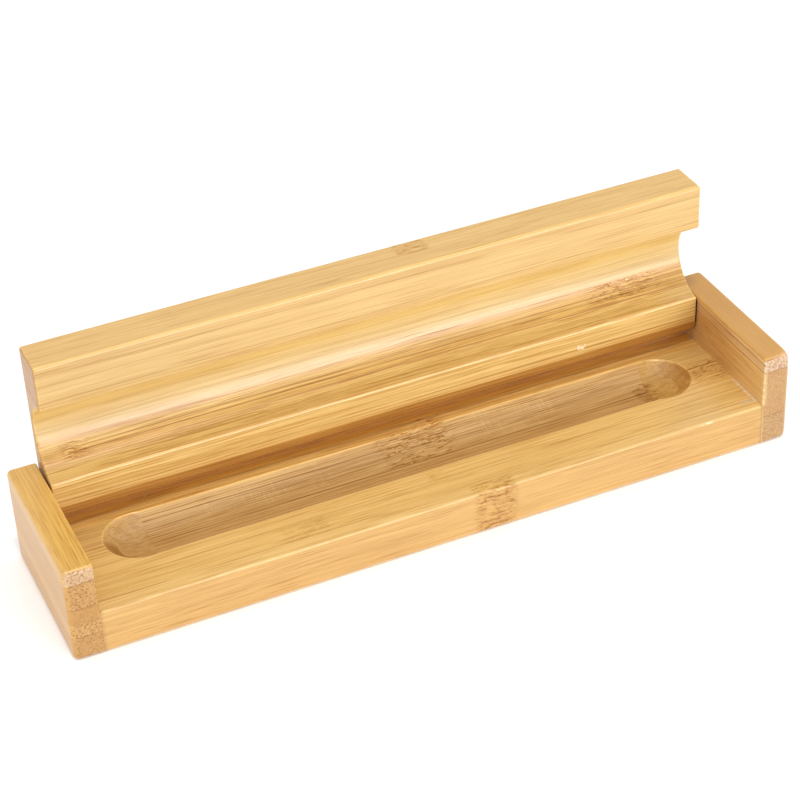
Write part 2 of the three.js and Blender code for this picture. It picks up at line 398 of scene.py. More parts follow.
def bambooColour(shader, place, board, axes, dish):
    # Strips side by side, each with its own tone; fibres run along the board as noise stretched
    # along it; dark bundles are cells stretched the same way, so that cut ends show them as dots.
    # level = middle + sum of share * (noise - 1/2) - share * bundles, from dark at 0 to light at 1
    along, across, through = place
    flat = 1.0 if dish is None else 1 - dish
    drift = shader.noise(place, bamboo["drift"], 1.0) - 0.5
    sway = shader.noise(place, bamboo["sway"]) - 0.5
    bend = across + drift * bamboo["driftBy"] + sway * board.get("sway", bamboo["swayBy"])
    marks, shade, push = nodeMasks(shader, place, board.get("nodes", ()))
    bent = (along, bend if push is None else bend + push, through)
    stretch = np.array([board.get("stretch", 1.0), 1, 1])
    fine = shader.noise(bent, bamboo["fine"] * stretch, 4.0, 0.7)
    streak = shader.noise(bent, bamboo["streak"], 3.0, 0.6)
    patchy = shader.noise(place, bamboo["patch"] * stretch).ramp(*bamboo["patchOn"])
    bundle = shader.cells(bent, bamboo["bundle"] * stretch).ramp(*bamboo["bundleOn"])
    bundle = bundle * (patchy * (1 - bamboo["bundleLeft"]) + bamboo["bundleLeft"])
    broad = shader.noise(place, bamboo["broad"]) - 0.5

    low, high = board["span"]
    stops = [(max(0.0, (edge - low) / (high - low)), colour) for edge, colour in board["strips"]]
    colour = shader.add("ShaderNodeValToRGB", {"rampStyle": "CONSTANT", "stops": stops},
                        {"Fac": (across - low) / (high - low)})
    dark = shader.mix(1.0, colour, bamboo["dark"], "MULTIPLY")
    light = shader.mix(1.0, colour, bamboo["light"], "MULTIPLY")
    calm = boxMask(shader, board.get("calm", ()), axes)
    lively = boxMask(shader, board.get("lively", ()), axes)
    loud = 1.0 if calm is None else 1 - calm
    level = (fine - 0.5) * bamboo["fineShare"] + (streak - 0.5) * bamboo["streakShare"]
    level = level + broad * bamboo["broadShare"] - bundle * bamboo["bundleShare"]
    level = level * (1.0 if lively is None else lively * bamboo["livelyGain"] + 1)
    level = level * (loud * (1 - bamboo["calmLeft"]) + bamboo["calmLeft"])
    level = level * (1.0 if dish is None else 1 - dish * bamboo["dishLoss"])
    colour = shader.mix((level + bamboo["middle"]).ramp(0.0, 1.0), dark, light)

    lines = None
    for plane, width, strength in board["glueLines"]:
        thin = abs(across - plane).ramp(width * 0.3, width, strength, 0.0)
        lines = thin if lines is None else lines.most(thin)
    unbroken = shader.noise(place, bamboo["lineBreak"]).ramp(*bamboo["lineOn"])
    lines = lines * unbroken * loud * flat
    colour = shader.tinted(lines, colour, bamboo["line"])

    relief = fine * bamboo["fineRelief"] + streak * bamboo["streakRelief"]
    relief = relief - bundle * bamboo["bundleRelief"]
    dull = lines * bamboo["lineDull"] + bundle * bamboo["bundleDull"]
    if marks is not None:
        # strokes and pale lifts are the two sides of one warped noise, broken up by a finer one
        warp = (shader.noise(place, bamboo["warp"]) - 0.5) * bamboo["warpBy"]
        mottle = shader.noise(place, bamboo["mottle"], 3.0, 0.6)
        warped = (along + warp, across + warp, through)
        grainy = shader.noise(warped, bamboo["stroke"], 2.0, 0.6)
        strokes = grainy.ramp(*bamboo["strokeOn"]) * mottle.ramp(*bamboo["mottleOn"]) * marks
        lifts = grainy.ramp(*bamboo["liftOn"]) * marks
        shaded = shade * mottle.ramp(*bamboo["shadeOn"])
        colour = shader.tinted(shaded, colour, bamboo["nodeTone"])
        colour = shader.tinted(strokes, colour, bamboo["strokeTone"])
        colour = shader.tinted(lifts, colour, bamboo["liftTone"])
        relief = relief + (lifts - strokes) * bamboo["nodeRelief"]
        dull = dull + strokes * bamboo["strokeDull"]
    return colour, relief, dull


def grooveColour(shader, colour, board, axes, dish):
    # The plunged ends are cut across the fibres, which leaves blotches in place of streaks, and
    # the cutter left short pale chatter marks across the trough
    place = (axes["x"], axes["y"], axes["z"])
    blotch = shader.noise(place, bamboo["blotch"], 4.0, 0.65).ramp(*bamboo["blotchOn"])
    blotchTone = shader.mix(blotch, *bamboo["blotchTones"])
    colour = shader.tinted(dish * bamboo["blotchShare"], colour, blotchTone)
    chatter = shader.noise(place, bamboo["chatter"], 1.0).ramp(*bamboo["chatterOn"])
    patchy = shader.noise(place, bamboo["chatterPatch"]).ramp(*bamboo["chatterPatchOn"])
    chatter = chatter * patchy * boxMask(shader, board["chatter"], axes)
    return shader.tinted(chatter, colour, bamboo["chatterTone"])


def bambooMaterial(name, board):
    # The wood of one board, then its dots on cut ends, its tints (some of them painted shade, light
    # and sheen), specks, and edges lightened for wear and painted highlight
    shader = Shader(name)
    x, y, z = shader.place()
    axes = {"x": x, "y": y, "z": z, "slant": x - y}
    place = tuple(axes[axis] for axis in board["axes"])
    dish = shader.attribute("dish") if "chatter" in board else None
    colour, relief, dull = bambooColour(shader, place, board, axes, dish)
    if dish is not None:
        colour = grooveColour(shader, colour, board, axes, dish)
    if "ends" in board:
        along, across, through = place
        wobble = (shader.noise(place, bamboo["wobble"]) - 0.5) * bamboo["wobbleBy"]
        dots = shader.cells((along, across + wobble, through + wobble), bamboo["dot"])
        dots = dots.ramp(*bamboo["dotOn"]) * boxMask(shader, board["ends"], axes)
        colour = shader.tinted(dots, colour, board["dotTone"])
    for tint in board["tints"]:
        colour = shader.tinted(boxMask(shader, [tint], axes), colour, tint["by"])
    if "specks" in board:
        ragged = shader.noise((x, y, z), bamboo["speck"]).ramp(*bamboo["speckOn"])
        for speck in board["specks"]:
            colour = shader.mix(boxMask(shader, [speck], axes) * ragged, colour, speck["tone"])
    # Edges are lightened here: wear on the edges, and a painted highlight along the arrises and the
    # groove's rim
    patchy = shader.noise((x, y, z), bamboo["wear"], 3.0).ramp(*bamboo["wearOn"])
    colour = shader.tinted(patchy * shader.attribute("worn"), colour, board["wornTone"])
    roughness = (1 - relief * bamboo["reliefShine"]) * bamboo["roughness"] + dull
    if dish is not None:
        groove = shader.attribute("groove").ramp(*bamboo["grooveOn"])
        roughness = roughness + groove * bamboo["grooveDull"]
    sockets = {
        "Base Color": colour, "Roughness": roughness, "IOR": 1.5, "Specular IOR Level": 0.7,
        "Normal": shader.bump(relief, bamboo["bump"], bamboo["bumpDistance"])}
    if "slits" in board:
        # painted shade: deep in the slits beside the lid the wood gets a dark tone, and is made
        # metallic so that nothing shines
        slits = boxMask(shader, board["slits"], axes)
        sockets["Base Color"] = shader.mix(slits, colour, board["paintedSlitShadeTone"])
        sockets["Metallic"] = slits
    return shader.finish(sockets)


base = {
    "halfLength": 83.0, "halfDepth": 21.0, "thickness": 11.4, "edge": 0.5, "lowEdge": 1.3,
    "grooveHalfWidth": 8.1, "grooveDepth": 3.2, "grooveY": 1.0, "grooveHalfLength": 74.8,
    "dishExtra": 0.3, "rimSoftness": 0.14,
    "dishShift": {-1: 0.1, 1: -0.3}, "tipSlope": 0.88, "tipFloor": 0.026,
    "tipFacing": (0.35, 0.75), "tipFrom": (0.5, 3.5), "wallBlend": 0.06,
    "dishBlend": (-0.02, 0.05),
    "outsideGroove": -9.0, "paintedRimHighlight": 0.7, "paintedRimHighlightReach": 0.16, "edgeWear": 0.42,
    "rowsInside": 45, "rowsOutside": 31, "cornerRays": 23, "endRays": 61,
    "crowdInside": 1.7, "crowdOutside": 2.1, "borderSupport": 0.992,
    "denseFrom": 60, "denseStep": 0.16, "sparseColumns": 61, "edgeSteps": 8,
    "sideRows": (0.012, 0.2, 0.4, 0.6, 0.8, 0.988),
}


def grooveDepthAt(x, y):
    # Depth below the top: the deeper of a trough, sqrt(R^2 - s^2) - (R - depth), and two round
    # dishes of the same radius sunk a little deeper; outside its rim each falls away in a straight
    # line, and half of (d + sqrt(d^2 + softness^2)) eases the rim
    half, depth = base["grooveHalfWidth"], base["grooveDepth"]
    radius = (half ** 2 + depth ** 2) / (2 * depth)

    def bowl(distance, deep):
        # sqrt(R^2 - distance^2) - (R - deep) up to its rim, and a straight line on from there
        rim = math.sqrt(deep * (2 * radius - deep))
        height = np.sqrt(np.maximum(radius ** 2 - np.minimum(distance, rim) ** 2, 0))
        slope = rim / math.sqrt(radius ** 2 - rim ** 2)
        return height - (radius - deep) - slope * np.maximum(distance - rim, 0)

    dishDeep = depth + base["dishExtra"]
    rim = math.sqrt(dishDeep * (2 * radius - dishDeep))
    dishX = base["grooveHalfLength"] - rim
    trough = bowl(np.abs(y - base["grooveY"]), depth)
    trough = np.where(np.abs(x) <= dishX, trough, base["outsideGroove"])
    dish = np.full_like(x, base["outsideGroove"])
    wall = np.zeros_like(x)
    for side, shift in base["dishShift"].items():
        outX, outY = side * (x - side * dishX), y - base["grooveY"] - shift
        away = np.hypot(outX, outY)
        # towards the tip the wall is a steep cone, and the floor inside it is flatter than the bowl
        cone, floor = (rim - away) * base["tipSlope"], dishDeep - base["tipFloor"] * away ** 2
        isWall = ease01(floor - cone, -base["wallBlend"], base["wallBlend"])
        cone = np.minimum(cone, floor)
        facing = outX / np.maximum(away, 1e-6)
        tip = ease01(facing, *base["tipFacing"]) * ease01(away, *base["tipFrom"])
        shape = bowl(away, dishDeep)
        steeper = np.maximum(cone - shape, base["outsideGroove"] * (away > rim))
        dish = np.maximum(dish, shape + tip * steeper)
        wall = np.maximum(wall, tip * isWall * (away < rim + 0.1))
    deepest = np.maximum(trough, dish)
    soft = base["rimSoftness"]
    eased = (deepest + np.sqrt(deepest ** 2 + soft ** 2)) / 2
    return eased, deepest, ease01(dish - trough, *base["dishBlend"]), wall, dishX, rim


def makeBase(material):
    # The top is a grid of heights, thickness - groove depth, made of straight columns between
    # the dishes and a fan of rays round each; a shell round the underside and flat ends close it
    half, thick, edge = base["halfDepth"], base["thickness"], base["edge"]
    length, centreY = base["halfLength"], base["grooveY"]
    dishX, dishRim = grooveDepthAt(np.zeros(1), np.zeros(1))[4:]
    flat = half - edge

    # shares of the way from the centre line to the rim, 1 - (1 - t)^crowding, and on from the
    # rim to the border, t^crowding, so that the rows lie closest at the rim
    inside = 1 - (1 - np.linspace(0, 1, base["rowsInside"])) ** base["crowdInside"]
    outside = np.linspace(0, 1, base["rowsOutside"])[1:] ** base["crowdOutside"]
    outside = np.append(outside[:-1], [base["borderSupport"], 1.0])

    def reach(rim, border):
        # rows of distances from the centre line: the groove first, then the flat beside it
        return np.concatenate([inside[None] * rim[:, None],
                               rim[:, None] + outside[None] * (border - rim)[:, None]], 1)

    dense = np.arange(base["denseFrom"], dishX, base["denseStep"])
    sparse = np.linspace(-base["denseFrom"], base["denseFrom"], base["sparseColumns"])[1:-1]
    columns = np.concatenate([[-dishX], -dense[::-1], sparse, dense, [dishX]])
    fromDish = np.minimum(np.abs(np.abs(columns) - dishX), dishRim)
    rim = np.maximum(base["grooveHalfWidth"], np.sqrt(dishRim ** 2 - fromDish ** 2))
    across = np.concatenate([
        centreY - reach(rim, np.full_like(rim, centreY + flat))[:, :0:-1],
        centreY + reach(rim, np.full_like(rim, flat - centreY))], 1)
    along = np.broadcast_to(columns[:, None], across.shape)
    top = [(along, across)]

    # fans of rays round the centre of each dish, out to the ends of the board
    backCorner = math.atan2(flat - centreY, length - dishX)
    frontCorner = math.atan2(-(flat + centreY), length - dishX)
    corner, ends = base["cornerRays"], base["endRays"]
    angles = np.concatenate([
        np.linspace(-math.pi / 2, frontCorner, corner),
        np.linspace(frontCorner, backCorner, ends)[1:],
        np.linspace(backCorner, math.pi / 2, corner)[1:]])
    cosine, sine = np.cos(angles), np.sin(angles)
    cosine[[0, -1]] = 0
    toEnd = (length - dishX) / np.maximum(cosine, 1e-9)
    toSide = np.where(sine > 0, flat - centreY, flat + centreY) / np.maximum(np.abs(sine), 1e-9)
    away = reach(np.full_like(angles, dishRim), np.minimum(toEnd, toSide))
    for side in (-1, 1):
        top.append((side * (dishX + away * cosine[:, None]), centreY + away * sine[:, None]))

    patches = []
    for x, y in top:
        eased, deepest, dish, wall, *unused = grooveDepthAt(x, y)
        # painted highlight: the groove's rim is lightened where it starts to fall away, standing
        # for the sheen along it; it shares the attribute of the worn edges
        paintedRimHighlight = base["paintedRimHighlight"] * np.exp(-(deepest / base["paintedRimHighlightReach"]) ** 2)
        patches.append({
            "points": np.stack([x, y, thick - eased], -1), "groove": np.clip(deepest, 0, 9),
            "dish": dish * (deepest > 0), "wall": wall * (deepest > 0), "worn": paintedRimHighlight})

    # the rest of the board: the outline goes from the front top edge under the board to the back
    borderX, borderY = dishX + away[:, -1] * cosine, centreY + away[:, -1] * sine
    frontX, backX = borderX[:corner], borderX[-corner:][::-1]
    frontLine = np.concatenate([-frontX[::-1], columns[1:-1], frontX])
    backLine = np.concatenate([-backX[::-1], columns[1:-1], backX])
    low = base["lowEdge"]
    corners = (((-flat, thick - edge), edge, 90), ((low - half, low), low, 180),
               ((half - low, low), low, 270), ((flat, thick - edge), edge, 0))
    arcs = [arcPoints(centre, radius, start, start + 90, base["edgeSteps"])
            for centre, radius, start in corners]
    between = np.array(base["sideRows"])[:, None]
    outline, worn = [], []
    for index, (arc, unused, turn) in enumerate(arcs):
        outline.append(arc)
        worn.append(turn * base["edgeWear"])
        if index < len(arcs) - 1:
            outline.append(arc[-1] + (arcs[index + 1][0][0] - arc[-1]) * between)
            worn.append(np.zeros(len(between)))
    outline, worn = np.concatenate(outline), np.concatenate(worn)
    travel = np.linspace(0, 1, len(outline))[:, None]
    shellX = frontLine[None] * (1 - travel) + backLine[None] * travel
    shellY, shellZ = (np.broadcast_to(values[:, None], shellX.shape) for values in outline.T)
    shell = np.stack([shellX, shellY, shellZ], -1)
    patches.append({"points": shell, "worn": worn[:, None]})

    # flat ends, hidden against the cheeks
    endY = borderY[corner - 1:corner + ends - 1]
    for side in (-1, 1):
        topEdge = np.stack([endY, np.full_like(endY, thick)], -1)[::-1]
        ring = np.concatenate([outline, topEdge[1:-1]])
        ring = np.concatenate([np.full((len(ring), 1), side * length), ring], 1)
        patches.append({"points": ring, "faces": [list(range(len(ring)))], "flat": True})
    return makePiece("base_board", patches, ("groove", "dish", "wall", "worn"), "base", "case",
                     material)


cheek = {
    "innerFace": 83.0, "thickness": 7.0, "height": 24.5, "halfDepth": 21.0,
    "topCorner": 1.1, "bottomCorner": 1.2, "leastCorner": 0.08, "outerEase": 1.2, "innerEase": 0.45,
    "foot": 11.4, "pivot": (16.6, 18.3), "holeRadius": 1.3, "holeDepth": 5.3,
    "wear": {-1: {(-1, 1): 0.25, (-1, 0): 0.1}, 1: {(-1, 1): 0.75, (-1, 0): 0.2}},
    "wearReach": 1.9, "wearFrom": 1.5, "cornerWear": 0.8, "lowWear": 0.6, "footBlend": 0.5,
    "support": 0.12, "spacing": 1.0, "stepsAlong": 40, "stepsUp": 22,
    "cornerSteps": 10, "outerSteps": 10, "innerSteps": 6,
}


def cheekOutline(inset):
    # A rounded rectangle drawn in by the inset: each corner radius shrinks by as much, down to
    # the least one, and the straight sides keep their number of points
    arcs = []
    for signY, signZ, start in ((1, 1, 0), (-1, 1, 90), (-1, -1, 180), (1, -1, 270)):
        corner = cheek["topCorner"] if signZ > 0 else cheek["bottomCorner"]
        radius = max(corner - inset, cheek["leastCorner"])
        centreY = signY * (cheek["halfDepth"] - inset - radius)
        centreZ = cheek["height"] - inset - radius if signZ > 0 else inset + radius
        steps = cheek["stepsAlong"] if start in (0, 180) else cheek["stepsUp"]
        arcs.append({"arc": ((centreY, centreZ), radius, start, start + 90, cheek["cornerSteps"]),
                     "steps": steps, "worn": 1 if signZ > 0 else cheek["lowWear"]})
    return closedOutline(arcs, cheek["support"], cheek["spacing"])


def makeCheek(name, side, node, material):
    # The outline carried through the thickness: eased widely on the outside, a little on the
    # inside above the base, and flush with the base below
    half, high = cheek["halfDepth"], cheek["height"]
    outline, unused, turn = cheekOutline(0.0)
    inner, outer = cheek["innerFace"], cheek["innerFace"] + cheek["thickness"]
    outX, outInset, outTurn = easedRings(outer, -1, cheek["outerEase"], cheek["outerSteps"])
    inX, inInset, inTurn = easedRings(inner, 1, cheek["innerEase"], cheek["innerSteps"])
    support = cheek["support"]
    xs = np.concatenate([outX, [outX[-1] - support, inX[-1] + support], inX[::-1]])
    insets = np.concatenate([outInset, [0, 0], inInset[::-1]])
    edge = np.concatenate([outTurn, [0, 0], inTurn[::-1]])
    aboveFoot = ease01(outline[:, 1], cheek["foot"], cheek["foot"] + cheek["footBlend"])
    share = np.where((np.arange(len(xs)) > len(outX))[:, None], aboveFoot[None], 1.0)
    drawnIn = np.stack([cheekOutline(inset)[0] for inset in insets])
    rings = outline[None] + (drawnIn - outline[None]) * share[..., None]
    for (cornerY, cornerZ), wear in cheek["wear"][side].items():
        # handling has taken more off some corners, most of all towards the outer face: the
        # points near them move along the diagonal by wear * exp(-(distance / reach)^2)
        away = np.linalg.norm(outline - np.array([cornerY * half, high * cornerZ]), axis=1)
        growth = ease01(xs, inner + cheek["wearFrom"], outer)[:, None]
        push = wear * growth * np.exp(-(away / cheek["wearReach"]) ** 2)
        diagonal = np.array([-cornerY, 1 - 2 * cornerZ]) / math.sqrt(2)
        rings = rings + push[..., None] * diagonal
    body = carried(xs, rings)
    worn = np.maximum(edge[:, None] * share, turn[None] * cheek["cornerWear"])

    centre = np.array([outer, 0, high / 2])
    outerCap = shrinkTo(body[0], centre[None], [0, 0.02, 0.35, 0.7, 1])
    circle = circleFacing(body[-1], cheek["pivot"], cheek["holeRadius"])
    innerCap = shrinkTo(body[-1], circle, [0, 0.03, 0.3, 0.6, 0.9, 1])
    depths = np.array([0, 0.2, 2.5, 5.1, cheek["holeDepth"]])
    bore = np.repeat(circle[None], len(depths), 0) + np.array([1, 0, 0]) * depths[:, None, None]
    middle = np.array([[inner + cheek["holeDepth"], *cheek["pivot"]]])
    floor = shrinkTo(bore[-1], middle, [0, 0.5, 1])
    patches = [
        {"points": body, "worn": worn}, {"points": outerCap, "flat": True},
        {"points": innerCap, "flat": True}, {"points": bore}, {"points": floor, "flat": True}]
    for patch in patches:
        patch["points"] = closeRound(patch["points"]) * np.array([side, 1, 1])
        if "worn" in patch:
            patch["worn"] = closeRound(patch["worn"])
    return makePiece(name, patches, ("worn",), node, "case", material)


lid = {
    "halfLength": 82.65, "innerY": 10.0, "outerY": 20.6, "hingeZ": 14.2, "frontZ": 55.9,
    "corner": 0.8, "swingCorner": 3.2, "endEase": 0.6,
    "coveY": 9.0, "coveZ": 34.65, "coveRadius": 9.9, "coveEdge": 0.6,
    "pivot": (16.6, 18.3), "holeRadius": 1.3, "holeEnd": 75.7, "holeSteps": 48,
    "support": 0.12, "spacing": 2.0,
}


def makeLid(material):
    # The profile of the lid, with its cove, carried along X between two eased ends
    inner, outer, low, high = lid["innerY"], lid["outerY"], lid["hingeZ"], lid["frontZ"]
    corner, swing, rounding = lid["corner"], lid["swingCorner"], lid["coveEdge"]
    reach = math.sqrt((lid["coveRadius"] + rounding) ** 2 - (inner + rounding - lid["coveY"]) ** 2)
    lean = math.degrees(math.atan2(reach, inner + rounding - lid["coveY"]))
    outline, normals, turn = closedOutline([
        {"arc": ((inner + swing, low + swing), swing, 180, 270, 20), "worn": 0.0},
        {"arc": ((outer - corner, low + corner), corner, 270, 360, 8)},
        {"arc": ((outer - corner, high - corner), corner, 0, 90, 8)},
        {"arc": ((inner + corner, high - corner), corner, 90, 180, 8), "worn": 0.3},
        {"arc": ((inner + rounding, lid["coveZ"] + reach), rounding, 180, 180 + lean, 6)},
        {"arc": ((lid["coveY"], lid["coveZ"]), lid["coveRadius"], lean, -lean, 72), "worn": 0.0},
        {"arc": ((inner + rounding, lid["coveZ"] - reach), rounding, 180 - lean, 180, 6),
         "worn": 0.5}],
        lid["support"], lid["spacing"])
    # arcs that bend the other way meet their neighbours point on point, so the twins are dropped
    keep = np.linalg.norm(outline - np.roll(outline, 1, 0), axis=1) > 1e-4
    outline, normals, turn = outline[keep], normals[keep], turn[keep]

    end = lid["halfLength"]
    leftX, leftInset, leftTurn = easedRings(-end, 1, lid["endEase"], 6)
    flatEnd = leftX[-1] + lid["support"]
    span = np.concatenate([[flatEnd], np.linspace(-end + 1, end - 1, 12), [-flatEnd]])
    xs = np.concatenate([leftX, span, -leftX[::-1]])
    insets = np.concatenate([leftInset, np.zeros(len(span)), leftInset[::-1]])
    edge = np.concatenate([leftTurn, np.zeros(len(span)), leftTurn[::-1]])
    body = carried(xs, outline[None] - normals[None] * insets[:, None, None])
    worn = np.maximum(edge[:, None], turn[None])
    patches = [{"points": closeRound(body), "worn": closeRound(worn)}]

    circle = arcPoints(lid["pivot"], lid["holeRadius"], 0, 360, lid["holeSteps"])[0][:-1]
    circle = np.concatenate([np.zeros((len(circle), 1)), circle], 1)
    for side, ring in ((-1, body[0]), (1, body[-1])):
        mouth = circle + np.array([side * end, 0, 0])
        triangles = tessellate_polygon([ring.tolist(), mouth[::-1].tolist()])
        patches.append({"points": np.concatenate([ring, mouth[::-1]]), "flat": True,
                        "faces": [list(face) for face in triangles]})
        places = side * np.array([end, end - 0.2, 79, lid["holeEnd"]])
        bore = circle[None] + np.array([1, 0, 0]) * places[:, None, None]
        floor = shrinkTo(bore[-1], np.array([[side * lid["holeEnd"], *lid["pivot"]]]), [0, 0.5, 1])
        patches.append({"points": closeRound(bore)})
        patches.append({"points": closeRound(floor), "flat": True})
    return makePiece("lid_board", patches, ("worn",), "lid", "lid", material)


baseBoard = {
    "axes": "xyz", "span": (-21.5, 21.5), "stretch": 1.6,
    "strips": [
        (-21.5, tone(226, 183, 120)), (-17.4, tone(222, 178, 112)), (-11.55, tone(224, 180, 114)),
        (-5.7, tone(222, 178, 112)), (0.6, tone(218, 174, 110)), (6.9, tone(220, 174, 104)),
        (12.75, tone(218, 168, 96)), (18.9, tone(222, 176, 108))],
    "glueLines": [
        (-17.4, 0.20, 0.7), (-11.55, 0.16, 0.6), (-5.7, 0.16, 0.6), (0.6, 0.26, 0.95),
        (6.9, 0.16, 0.6), (18.9, 0.18, 0.6),
        (4.8, 0.14, 0.6), (-0.6, 0.2, 0.7), (-2.6, 0.16, 0.6), (7.9, 0.14, 0.5)],
    # lightens worn edges and, strongly, the painted highlight along the groove's rim
    "wornTone": (1.3, 1.45, 1.7),
    "lively": [{"attribute": "groove", "over": (0.05, 0.6)}, {"y": (8.9, 22, 0.4)}],
    "calm": [{"y": (-22, -20.9, 0.1), "amount": 0.3}],
    "chatter": [
        {"x": (-54, -18, 4), "y": (1.5, 8.8, 0.8), "z": (7, 11.2)},
        {"x": (18, 45, 4), "y": (1.5, 8.8, 0.8), "z": (7, 11.2)}],
    "specks": [
        {"slant": (-74.8, -74.4, 0.12), "x": (-61.7, -58.9), "z": (11, 12),
         "tone": tone(240, 196, 120)},
        {"x": (82.2, 83.1, 0.15), "y": (-19, -8.4, 0.8), "z": (11, 12),
         "tone": tone(240, 218, 186)},
        {"x": (78.8, 82.4, 0.5), "y": (-18.4, -16.9, 0.3), "z": (11, 12),
         "tone": tone(214, 190, 150)},
        {"x": (81.5, 82.9, 0.2), "y": (14.6, 16.2, 0.25), "z": (11, 12),
         "tone": tone(205, 185, 175)},
        # painted shade: a dark spot standing for the deep shade behind a glue blob in the corner at
        # the cheek
        {"x": (81.2, 82.6, 0.2), "y": (16.6, 18.2, 0.25), "z": (11, 12), "tone": tone(70, 40, 20)},
        {"x": (82.0, 82.9, 0.2), "y": (12.3, 13.4, 0.2), "z": (11, 12),
         "tone": tone(225, 190, 160)},
        {"x": (66.0, 69.5, 1.2), "y": (-21.2, -20.7, 0.1), "z": (11.0, 12),
         "tone": tone(250, 214, 160)}],
    "tints": [
        {"attribute": "groove", "over": (0.05, 0.6), "by": (0.89, 0.90, 0.89)},
        {"z": (11.15, 12), "y": (-20.8, 9), "by": (1.09, 1.16, 1.09)},
        # painted shade: the floor at the foot of the open lid and under it gets the warm, deep
        # colour of the shade there
        {"z": (11.15, 12), "y": (9, 12.2), "by": (1.16, 1.10, 0.90)},
        {"z": (11.15, 12), "y": (12.2, 16.6, 0.4), "by": (1.48, 1.28, 0.48)},
        {"y": (-22, -20.85, 0.1), "by": (0.88, 0.83, 0.65)},
        {"attribute": "dish", "over": (0.2, 0.8), "x": (0, 83), "by": (1.0, 0.97, 0.74)},
        # painted shade on the steep tip walls of the dishes, stronger on the left, where the wall
        # faces away from the light
        {"attribute": "wall", "over": (0.02, 0.25), "x": (-83, 0), "y": (-9, 2.2, 1.2),
         "by": (0.70, 0.55, 0.32)},
        {"attribute": "wall", "over": (0.3, 0.7), "x": (0, 83), "by": (0.90, 0.82, 0.72)},
        {"attribute": "dish", "over": (0.2, 0.8), "x": (73.4, 76, 0.3), "by": (0.86, 0.76, 0.62)},
        {"attribute": "groove", "over": (0.5, 1.5), "x": (60.5, 64.0, 0.6), "y": (-7, 2.5, 0.6),
         "by": (0.86, 0.78, 0.64)}],
    "nodes": [
        {"along": (7.2, 17.1), "across": (-21.5, -17.4)},
        {"along": (-4.5, 13.0), "across": (0.6, 9.4), "shade": 0.35, "soft": 3.0},
        {"along": (5.5, 12.5), "across": (3.0, 12.3), "shade": 0.5, "soft": 1.5},
        {"along": (-37.8, -27.0), "across": (-17.4, -11.55), "strength": 0.3},
        {"along": (0.0, 4.5), "across": (-12.0, -8.4), "strength": 0.35},
        {"along": (61.0, 66.5), "across": (-6.5, 4.0), "through": (-1, 10.8), "shade": 0.4},
        {"along": (74.8, 83.5), "across": (-6.4, 2.6), "shade": 0.4}],
}

